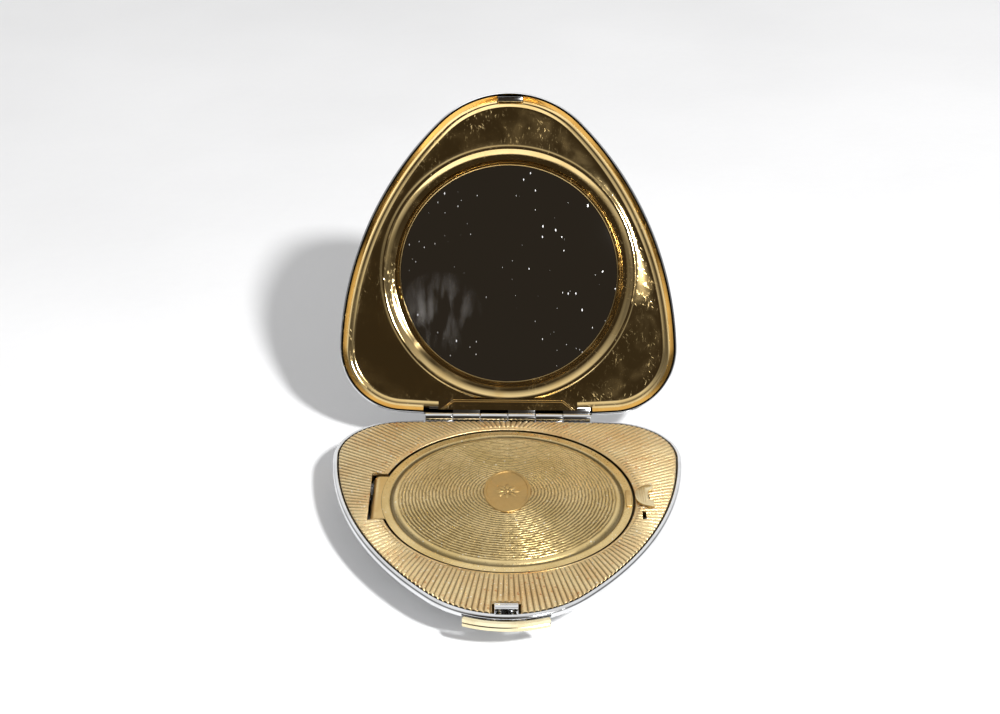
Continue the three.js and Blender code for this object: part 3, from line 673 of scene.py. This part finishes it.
def makeDeck():
    d = deckShape
    count = d["flutes"] * d["perFlute"]
    outer = caseRow(d["edgeInset"], 0, count)
    frontSteps = arcSteps(count)[-1]
    ring = []
    for i in range(count):
        angle = -math.pi / 2 + 2 * math.pi * (i + frontSteps / 2) / count
        ring.append(wellCentre + Vector((0, d["ringShift"], 0))
                    + Vector((math.cos(angle), math.sin(angle), 0)) * d["ringRadius"])
    ridge = [fluteHeight(i, d["perFlute"]) for i in range(count)]

    def across(share, z, relief):
        # a row part of the way from the edge to the ring, with the flutes standing on it
        row = []
        for near, far, height in zip(outer, ring, ridge):
            p = near.lerp(far, share)
            row.append(Vector((p.x, p.y, z + relief * height)))
        return row

    def level(share):
        return d["edgeZ"] + (d["ringZ"] - d["edgeZ"]) * share

    def circle(radius, z):
        return [wellCentre + (p - wellCentre).normalized() * radius + Vector((0, 0, z))
                for p in ring]

    relief = d["relief"]
    # shares of painted shade: mouth for the open flute ends at the edge, valley for the flute
    # valleys, dark for the gap down round the inner lid
    mouth = [min(1.0, 2.2 * share) for share in ridge]
    valley = [0.7 * (1 - share) ** 2.5 for share in ridge]
    plain, dark = [0.0] * count, [1.0] * count
    rows = [
        (across(0, 8.45, 0), mouth),
        (across(0, level(0) - 0.16, relief * 0.8), mouth),
        (across(0.012, level(0) - 0.08, relief * 0.9), [0.5 * v for v in valley]),
        (across(0.05, level(0), relief), valley),
        (across(0.5, level(0.5), relief), valley),
        (across(0.9, level(0.9), relief * 0.8), valley),
        (across(0.97, level(0.97), relief * 0.45), valley),
        (across(1, level(1), 0), plain),
        (circle(28.75, 9.24), plain), (circle(28.52, 9.22), plain), (circle(28.42, 9.12), plain),
        (circle(28.4, 9.0), dark), (circle(28.4, 8.3), dark), (circle(26.6, 8.3), dark),
        (circle(26.6, 7.85), plain), (circle(28.85, 7.85), plain), (circle(28.85, 8.75), plain),
        (across(0.96, 8.75, 0), plain), (across(0.08, 8.45, 0), plain),
    ]
    places, marks = zip(*rows)
    return loftRows(places, closeOnItself=True, marks=marks)


wellY = wellCentre.y
# slots for the inner lid's tab, the catch and the latch hook, and a small one by the catch
deckSlots = [
    ((-30.5, wellY - 9.1, 7), (-26, wellY + 9.1, 11)),
    ((29.2, wellY - 1.7, 7), (31.6, wellY + 1.7, 11)),
    ((29.6, wellY - 8.2, 7), (30.5, wellY - 4.9, 11)),
    ((-3, -40, 7), (3, -33.45, 11)),
]
finishPiece(makeDeck(), "flutedDeck", "base", deckGilt, ["deck_plate"], sharpDeg=50,
            cutters=deckSlots)
print("deck made")


innerShape = {
    "flangeRadius": 27.95,
    "flangeZ": 8.45,
    "thickness": 0.5,
    "grooveRadius": 25.6,
    "discRadius": 24.8,
    "discZ": 9.2,
    "crownZ": 10.85,
    "ridgePitch": 0.75,
    "ridgeRelief": 0.06,
    "pivot": (-28.6, 7.4),
    "curl": 1.5,
    "sheet": 0.45,
    "tabHalf": 8.35,
}


def discHeight(radius):
    s = innerShape
    return s["crownZ"] - (s["crownZ"] - s["discZ"]) * (radius / s["discRadius"]) ** 2


def innerLidProfile():
    s = innerShape
    top = s["flangeZ"] + s["thickness"]
    under = [(0, 10.35), (8, 10.2), (16, 9.8), (22, 9.3), (24.3, 9.0), (24.6, 8.5), (24.9, 8.2),
             (25.9, 8.2), (26.3, s["flangeZ"]), (27.6, s["flangeZ"])]
    edge = [(s["flangeRadius"], top - 0.1), (27.87, top),
            (26.5, top), (26.2, top + 0.06), (26.0, top), (25.75, 8.72), (25.35, 8.72),
            (25.15, 8.85), (24.95, 9.05), (24.7, 9.17)]
    disc = []
    steps = 6 * 32
    for k in range(steps + 1):
        r = 24.4 * (1 - k / steps)
        ridge = 0.5 - 0.5 * math.cos(2 * math.pi * r / s["ridgePitch"])
        disc.append((r, discHeight(r) + (s["ridgeRelief"] * ridge if r > 5 else 0)))
    return under + edge + disc


def curledTab(bm):
    # flat strip that runs over the slot and curls down round its pin
    s = innerShape
    x, z = s["pivot"]
    outer, inner = s["curl"], s["curl"] - s["sheet"]
    low, high = wellY - s["tabHalf"], wellY + s["tabHalf"]
    corners = [(x + 2.2, z + inner), (x + 2.2, z + outer), (x, z + outer), (x, z + inner)]
    face = bm.faces.new([bm.verts.new((px, low, pz)) for px, pz in corners])
    grown = bmesh.ops.extrude_face_region(bm, geom=[face])["geom"]
    bmesh.ops.translate(bm, verts=[v for v in grown if isinstance(v, bmesh.types.BMVert)],
                        vec=(0, high - low, 0))
    bm.faces.ensure_lookup_table()
    end = [f for f in bm.faces if all(abs(v.co.x - x) < 1e-4 and low - 0.01 < v.co.y < high + 0.01
                                      and v.co.z > z for v in f.verts)]
    bmesh.ops.spin(bm, geom=end, cent=(x, wellY, z), axis=(0, -1, 0), angle=math.radians(80),
                   steps=14)


finishPiece(spunBody(innerLidProfile(), wellCentre, steps=256), "innerLid", "inner_lid",
            turnedGilt, ["inner_lid"])

tabBm = bmesh.new()
curledTab(tabBm)
bmesh.ops.recalc_face_normals(tabBm, faces=tabBm.faces)
pivotX, pivotZ = innerShape["pivot"]
rod(tabBm, 1.1, (pivotX, wellY - 5.9, pivotZ), (pivotX, wellY + 5.9, pivotZ))
block(tabBm, (26.25, wellY - 3.1, 8.85), (27.6, wellY + 3.1, 9.28), 0.2, 3)
finishPiece(tabBm, "innerLidTab", "inner_lid", plainBrass)

medallion = {"halfX": 5.2, "halfY": 8.25, "border": 0.45, "rise": 0.18, "petals": 8}


def makeMedallion():
    # oval seal with a raised border and a plain eight-petal flower
    m = medallion
    z = discHeight(0)
    bm = bmesh.new()
    made = bmesh.ops.create_cone(bm, cap_ends=True, segments=96, radius1=1, radius2=1,
                                 depth=0.5)["verts"]
    bmesh.ops.scale(bm, verts=made, vec=(m["halfX"], m["halfY"], 1))
    bmesh.ops.translate(bm, verts=made, vec=wellCentre + Vector((0, 0, z - 0.2)))
    top = max((f for f in bm.faces if len(f.verts) > 4), key=lambda f: f.calc_center_median().z)
    for thickness, depth in ((0.12, 0.1), (m["border"], 0), (0.14, -0.16), (0.5, 0.0)):
        bmesh.ops.inset_region(bm, faces=[top], thickness=thickness, depth=depth,
                               use_even_offset=True)
    bmesh.ops.poke(bm, faces=[f for f in bm.faces if len(f.verts) > 4])
    for k in range(m["petals"]):
        turn = Matrix.Rotation(2 * math.pi * k / m["petals"], 4, "Z")
        place = (Matrix.Translation(wellCentre + Vector((0, 0, z - 0.02))) @ turn
                 @ Matrix.Translation((1.7, 0, 0)) @ Matrix.Diagonal((1.15, 0.5, 0.16, 1)))
        bmesh.ops.create_uvsphere(bm, u_segments=16, v_segments=8, radius=1, matrix=place)
    centre = (Matrix.Translation(wellCentre + Vector((0, 0, z)))
              @ Matrix.Diagonal((0.55, 0.55, 0.22, 1)))
    bmesh.ops.create_uvsphere(bm, u_segments=16, v_segments=8, radius=1, matrix=centre)
    return bm


finishPiece(makeMedallion(), "innerLidSeal", "inner_lid", sealBrass)
print("inner lid made")


liningShape = {
    "back": [(20, 4.55), (27, 4.55), (27.1, 3.35)],
    "seat": [(27.3, 3.25), (27.9, 3.2), (28.8, 2.85), (29.4, 2.5), (29.75, 2.3), (30.1, 2.28),
             (30.45, 2.42), (30.8, 2.58)],
    "field": [(3.7, 2.6), (3.3, 2.58), (3.0, 2.45), (2.7, 2.2), (2.3, 2.08), (1.9, 1.95),
              (1.5, 1.5), (1.15, 0.9), (0.95, 0.55), (0.85, 0.37)],
    "wall": [(0.74, 0.36), (0.68, 0.5), (0.7, 1.2), (1.3, 2.5), (2.5, 3.0), (3.5, 3.05)],
    "rear": [(30.4, 3.05), (28.2, 3.7), (27.5, 4.9), (20, 4.9)],
}


def makeLining():
    s = liningShape
    return loftRows(lidCircles(s["back"]) + lidCircles(s["seat"]) + lidOutlines(s["field"])
                    + lidOutlines(s["wall"]) + lidCircles(s["rear"]))


gapHalf = baseShape["notchHalf"] + 0.2
finishPiece(makeLining(), "lidLining", "lid", liningGilt, ["lid_lining"], cutters=[
    ((-gapHalf, 36.1, rimZ - 1), (gapHalf, 40, rimZ + 2.65)),
    ((-3.1, -40, rimZ - 1), (3.1, -36, rimZ + 2.3)),
])

ringProfile = [(25.75, 2.84), (25.8, 2.6), (25.95, 2.42), (26.15, 2.42), (26.28, 2.52),
               (26.42, 2.3), (26.62, 2.3), (26.75, 2.5), (26.75, 4.3), (26.4, 4.3), (26.35, 2.84)]
finishPiece(spunBody([(r, z + rimZ) for r, z in ringProfile], mirrorCentre, closed=True),
            "mirrorRing", "lid", liningGilt, ["mirror_ring"])
glassProfile = [(0, 2.9), (25.7, 2.9), (26.0, 3.0), (26.08, 3.15), (26.08, 4.1), (0, 4.1)]
finishPiece(spunBody([(r, z + rimZ) for r, z in glassProfile], mirrorCentre),
            "mirrorGlass", "lid", mirrorSilver, ["mirror_glass"])
print("lining and mirror made")


hingeShape = {"radius": 1.1, "pitch": 6.52, "gap": 0.16, "count": 6, "leafY": 36.3, "sheet": 0.5,
              "stripHalf": 18.6}


def makeLeaf(first, tongueZ, strip):
    h = hingeShape
    bm = bmesh.new()
    for k in range(first, h["count"], 2):
        x = (k - (h["count"] - 1) / 2) * h["pitch"]
        halfLength = (h["pitch"] - h["gap"]) / 2
        left, right = x - halfLength, x + halfLength
        rod(bm, h["radius"], (left, hinge["y"], rimZ), (right, hinge["y"], rimZ), 0.08)
        block(bm, (left, h["leafY"], tongueZ), (right, hinge["y"], tongueZ + h["sheet"]), 0.05)
    low, high = strip
    block(bm, (-h["stripHalf"], h["leafY"], low),
          (h["stripHalf"], h["leafY"] + h["sheet"], high), 0.05)
    return bm


finishPiece(makeLeaf(0, rimZ - 1.1, (6.6, 8.4)), "baseLeaf", "base", chromePlate,
            ["base_hinge_leaf"])
finishPiece(makeLeaf(1, rimZ + 0.6, (9.6, 11.6)), "lidLeaf", "lid", chromePlate,
            ["lid_hinge_leaf"])

coverShape = {"half": 16.5, "trimY": 37.2, "trimRun": 2.9, "trimRise": 3.55, "foot": 9.4,
              "bendY": 36.05, "top": 10.75, "tipY": 34.4, "footEnd": 36.95, "line": 0.07}


def makeCoverPlate():
    # a bent plate, trimmed to a trapezoid
    c = coverShape
    section = [(37, c["foot"]), (c["bendY"], c["foot"]), (c["bendY"], c["top"]),
               (c["tipY"], c["top"]), (c["tipY"], 11.0), (36.22, 11.0), (36.22, 9.55), (37, 9.55)]
    bm = bmesh.new()
    face = bm.faces.new([bm.verts.new((-c["half"], y, z)) for y, z in section])
    grown = bmesh.ops.extrude_face_region(bm, geom=[face])["geom"]
    bmesh.ops.translate(bm, verts=[v for v in grown if isinstance(v, bmesh.types.BMVert)],
                        vec=(2 * c["half"], 0, 0))
    for side in (-1, 1):
        geom = bm.verts[:] + bm.edges[:] + bm.faces[:]
        cut = bmesh.ops.bisect_plane(bm, geom=geom, plane_co=(side * c["half"], c["trimY"], 0),
                                     plane_no=(side * c["trimRun"], c["trimRise"], 0),
                                     clear_outer=True)["geom_cut"]
        bmesh.ops.contextual_create(bm, geom=[e for e in cut if isinstance(e, bmesh.types.BMEdge)])
    bmesh.ops.recalc_face_normals(bm, faces=bm.faces)
    return bm


finishPiece(makeCoverPlate(), "hingeCover", "lid", liningGilt, ["hinge_cover_plate"])


def makeCoverLines():
    # two raised lines along the plate's three free edges
    c = coverShape
    bm = bmesh.new()
    for inset in (0.35, 0.95):
        tip = c["tipY"] + inset * 0.7
        bends = ((c["footEnd"], c["foot"]), (c["bendY"], c["foot"]), (c["bendY"], c["top"]),
                 (tip, c["top"]))
        path = []
        for side in (-1, 1):
            arm = []
            for y, z in bends:
                reach = c["half"] - (c["trimY"] - y) * c["trimRise"] / c["trimRun"] - inset
                arm.append(Vector((side * reach, y, z)))
            path += arm if side < 0 else arm[::-1]
        for a, b in zip(path, path[1:]):
            rod(bm, c["line"], a, b, sides=8)
    return bm


finishPiece(makeCoverLines(), "hingeCoverLines", "lid", liningGilt)

strikeBm = bmesh.new()
block(strikeBm, (-2.9, -37.4, rimZ + 0.05), (2.9, -37, rimZ + 2.1), 0.08)
block(strikeBm, (-2.9, -37.4, rimZ + 0.05), (2.9, -36.2, rimZ + 0.45), 0.1)
finishPiece(strikeBm, "strikePlate", "lid", chromePlate, ["strike_plate"])
print("hinge made")


buttonShape = {"halfWidth": 9.1, "low": 5.9, "high": 8.1, "proud": 1.0, "inner": 0.1,
               "groove": 0.14}


def makeButton():
    b = buttonShape
    bm = bmesh.new()
    centreY = frontR - caseOutline["length"] / 2
    inner, outer = frontR + b["inner"], frontR + b["proud"]
    middle = (b["low"] + b["high"]) / 2
    section = [(inner, b["low"]), (outer - 0.35, b["low"]), (outer - 0.1, b["low"] + 0.12),
               (outer, b["low"] + 0.45), (outer, middle - 0.16), (outer - b["groove"], middle),
               (outer, middle + 0.16),
               (outer, b["high"] - 0.45), (outer - 0.1, b["high"] - 0.12),
               (outer - 0.35, b["high"]), (inner, b["high"])]
    spread = math.asin(b["halfWidth"] / outer)
    start = -math.pi / 2 - spread
    face = bm.faces.new([bm.verts.new((r * math.cos(start), centreY + r * math.sin(start), z))
                         for r, z in section])
    bmesh.ops.spin(bm, geom=[face], cent=(0, centreY, 0), axis=(0, 0, 1), angle=2 * spread,
                   steps=48)
    bmesh.ops.recalc_face_normals(bm, faces=bm.faces)
    ends = {e for f in bm.faces if len(f.verts) > 4 for e in f.edges}
    bmesh.ops.bevel(bm, geom=list(ends), offset=0.12, segments=2, profile=0.5, affect="EDGES",
                    material=-1)
    return bm


finishPiece(makeButton(), "thumbButton", "latch", paleGilt, ["thumb_button"])

hookBm = bmesh.new()
block(hookBm, (-4, -38.2, 6.2), (4, -37.7, 8), 0.08)
block(hookBm, (-2.45, -38.2, 6.4), (2.45, -27, 7), 0.08)
block(hookBm, (-2.45, -35.9, 6.4), (2.45, -35.3, 10.2), 0.14, 3)
block(hookBm, (-2.45, -36.8, 9.6), (2.45, -35.7, 10.2), 0.14, 3)
block(hookBm, (-1.6, -27.4, 5), (1.6, -27, 7.2), 0.08)
finishPiece(hookBm, "latchHook", "latch", chromePlate, ["latch_hook"])

catchShape = {"tip": 28.3, "back": 32.5, "half": 4.3, "z": 9.55, "thick": 0.5,
              "ribs": (1.7, 2.4, 2.9, 3.1, 1.6)}


def makeThumbpiece():
    c = catchShape
    tip, back, half = c["tip"], c["back"], c["half"]
    bm = bmesh.new()
    arc = interpolate_bezier(Vector((back, half)), Vector((tip + 1.6, half)), Vector((tip, 2.6)),
                             Vector((tip, 0)), 14)
    outline = [(p.x, p.y) for p in arc] + [(p.x, -p.y) for p in reversed(arc[:-1])]
    outline += [(back - 0.2, -2.2), (back - 1.1, -2.0), (back - 1.25, -1.0), (back - 1.25, 1.0),
                (back - 1.1, 2.0), (back - 0.2, 2.2)]
    face = bm.faces.new([bm.verts.new((x, wellY + y, c["z"])) for x, y in outline])
    grown = bmesh.ops.extrude_face_region(bm, geom=[face])["geom"]
    bmesh.ops.translate(bm, verts=[v for v in grown if isinstance(v, bmesh.types.BMVert)],
                        vec=(0, 0, c["thick"]))
    bmesh.ops.recalc_face_normals(bm, faces=bm.faces)
    rims = {e for f in bm.faces if len(f.verts) > 4 for e in f.edges}
    bmesh.ops.bevel(bm, geom=list(rims), offset=0.1, segments=2, profile=0.5, affect="EDGES",
                    material=-1)
    ribZ = c["z"] + c["thick"]
    for k, reach in enumerate(c["ribs"]):
        x = tip + 0.75 + 0.5 * k
        rod(bm, 0.09, (x, wellY - reach, ribZ), (x, wellY + reach, ribZ), sides=8)
    return bm


finishPiece(makeThumbpiece(), "catchThumbpiece", "catch", paleGilt,
            ["catch_thumbpiece"])
print("latch and catch made")


gauzeShape = {"radius": 24.3, "z": 4.2, "sag": 0.12, "thickness": 0.00012}

gauzeBm = bmesh.new()
made = bmesh.ops.create_grid(gauzeBm, x_segments=60, y_segments=60,
                             size=gauzeShape["radius"])["verts"]
for v in made:
    # the square grid is drawn into a disc
    reach = max(abs(v.co.x), abs(v.co.y))
    if reach > 1e-6:
        v.co *= reach / v.co.length
    inward = 1 - (v.co.to_2d().length / gauzeShape["radius"]) ** 2
    v.co.z = gauzeShape["z"] - gauzeShape["sag"] * inward
    v.co += wellCentre
gauzePiece = finishPiece(gauzeBm, "sifterGauze", "sifter", sifterGauze, ["sifter_gauze"])
solid = gauzePiece.modifiers.new("thickness", "SOLIDIFY")
solid.thickness, solid.offset = gauzeShape["thickness"], 0.0
print("sifter made")


finishes = {
    "powder_well": plainBrass, "hinge_pin": steelWire, "inner_lid_bracket": plainBrass,
    "inner_lid_pin": steelWire, "latch_bracket": plainBrass, "latch_spring": steelWire,
    "catch_guide": plainBrass, "catch_spring": steelWire, "catch_slider": plainBrass,
    "sifter_ring": plainBrass, "mirror_backing": backingCard,
}
for name, material in finishes.items():
    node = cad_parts[name]
    for k in range(len(node.material_slots)):
        node.material_slots[k].material = material


def makeFloor():
    material, tree, shade, place = startMaterial("paleBoard", Roughness=0.75)
    grain = add(tree, "TexNoise", {"Vector": place, "Scale": 260.0, "Detail": 6.0}).outputs["Fac"]
    cloud = add(tree, "TexNoise", {"Vector": place, "Scale": 9.0, "Detail": 3.0}).outputs["Fac"]
    tone = blend(tree, ramp(tree, cloud, 0.35, 0.65), (0.83, 0.83, 0.835, 1),
                 (0.88, 0.88, 0.885, 1))
    tree.links.new(tone, shade.inputs["Base Color"])
    tree.links.new(bump(tree, grain, 0.0002, 0.5), shade.inputs["Normal"])
    bm = bmesh.new()
    bmesh.ops.create_grid(bm, x_segments=1, y_segments=1, size=3)
    mesh = bpy.data.meshes.new("floor")
    bm.to_mesh(mesh)
    bm.free()
    mesh.materials.append(material)
    floor = bpy.data.objects.new("floor", mesh)
    bpy.context.scene.collection.objects.link(floor)


studio = {
    "keyTravel": (-0.62, 0.82, -1.0),
    "keyDistance": 0.9,
    "keySize": 0.09,
    "keyPower": 9.4,
    "aim": (0.0, 0.03, 0.015),
}


def makeKeyLight():
    s = studio
    lamp = bpy.data.lights.new("keyLight", "AREA")
    lamp.shape, lamp.size, lamp.energy = "DISK", s["keySize"], s["keyPower"]
    lampObject = bpy.data.objects.new("keyLight", lamp)
    travel = Vector(s["keyTravel"]).normalized()
    lampObject.location = Vector(s["aim"]) - travel * s["keyDistance"]
    lampObject.rotation_euler = travel.to_track_quat("-Z", "Y").to_euler()
    bpy.context.scene.collection.objects.link(lampObject)


lens = {"focal": 69.2, "aim": (0.0, 0.0389, 0.009), "distance": 0.4552, "elevation": 31.45,
        "roll": 0.42, "shiftX": -0.0078, "shiftY": 0.0607}


def makeCamera():
    camera = bpy.data.cameras.new("camera")
    camera.lens, camera.sensor_width = lens["focal"], 36
    camera.shift_x, camera.shift_y = lens["shiftX"], lens["shiftY"]
    camera.clip_start, camera.clip_end = 0.01, 20
    cameraObject = bpy.data.objects.new("camera", camera)
    tilt = math.radians(lens["elevation"])
    back = Vector((0, -math.cos(tilt), math.sin(tilt)))
    cameraObject.location = Vector(lens["aim"]) + back * lens["distance"]
    roll = Matrix.Rotation(math.radians(lens["roll"]), 3, "Z")
    turn = (-back).to_track_quat("-Z", "Y").to_matrix() @ roll
    cameraObject.rotation_euler = turn.to_euler()
    bpy.context.scene.collection.objects.link(cameraObject)
    bpy.context.scene.camera = cameraObject


def makeWorld():
    # the eye sees a pale room; the metal reflects a dim corner behind the viewer and brighter walls
    world = bpy.data.worlds.new("studio")
    world.use_nodes = True
    tree = world.node_tree
    tree.nodes.clear()
    way = add(tree, "TexCoord").outputs["Generated"]
    toViewer = add(tree, "VectorMath", {0: way, 1: (0.03, -0.853, 0.522)}, operation="DOT_PRODUCT")
    dim = ramp(tree, toViewer.outputs["Value"], 0.45, 0.86)
    parts = add(tree, "SeparateXYZ", {0: way}).outputs
    sides = calc(tree, "MULTIPLY", ramp(tree, calc(tree, "ABSOLUTE", parts["X"]), 0.45, 0.75),
                 ramp(tree, parts["Z"], 0.12, 0.35, 0.0, 0.85), True)
    room = blend(tree, sides, (0.95, 0.95, 0.95, 1), (0.05, 0.05, 0.055, 1))
    room = blend(tree, dim, room, (0.035, 0.028, 0.02, 1))
    path = add(tree, "LightPath").outputs
    colour = blend(tree, path["Is Diffuse Ray"], room, (0.55, 0.55, 0.55, 1))
    colour = blend(tree, path["Is Camera Ray"], colour, (0.9, 0.9, 0.9, 1))
    shade = add(tree, "Background", {"Color": colour, "Strength": 1.0})
    add(tree, "OutputWorld", {"Surface": shade.outputs[0]})
    bpy.context.scene.world = world


makeFloor()
makeKeyLight()
makeCamera()
makeWorld()
bpy.context.scene.view_settings.view_transform = "Standard"
print("studio made")
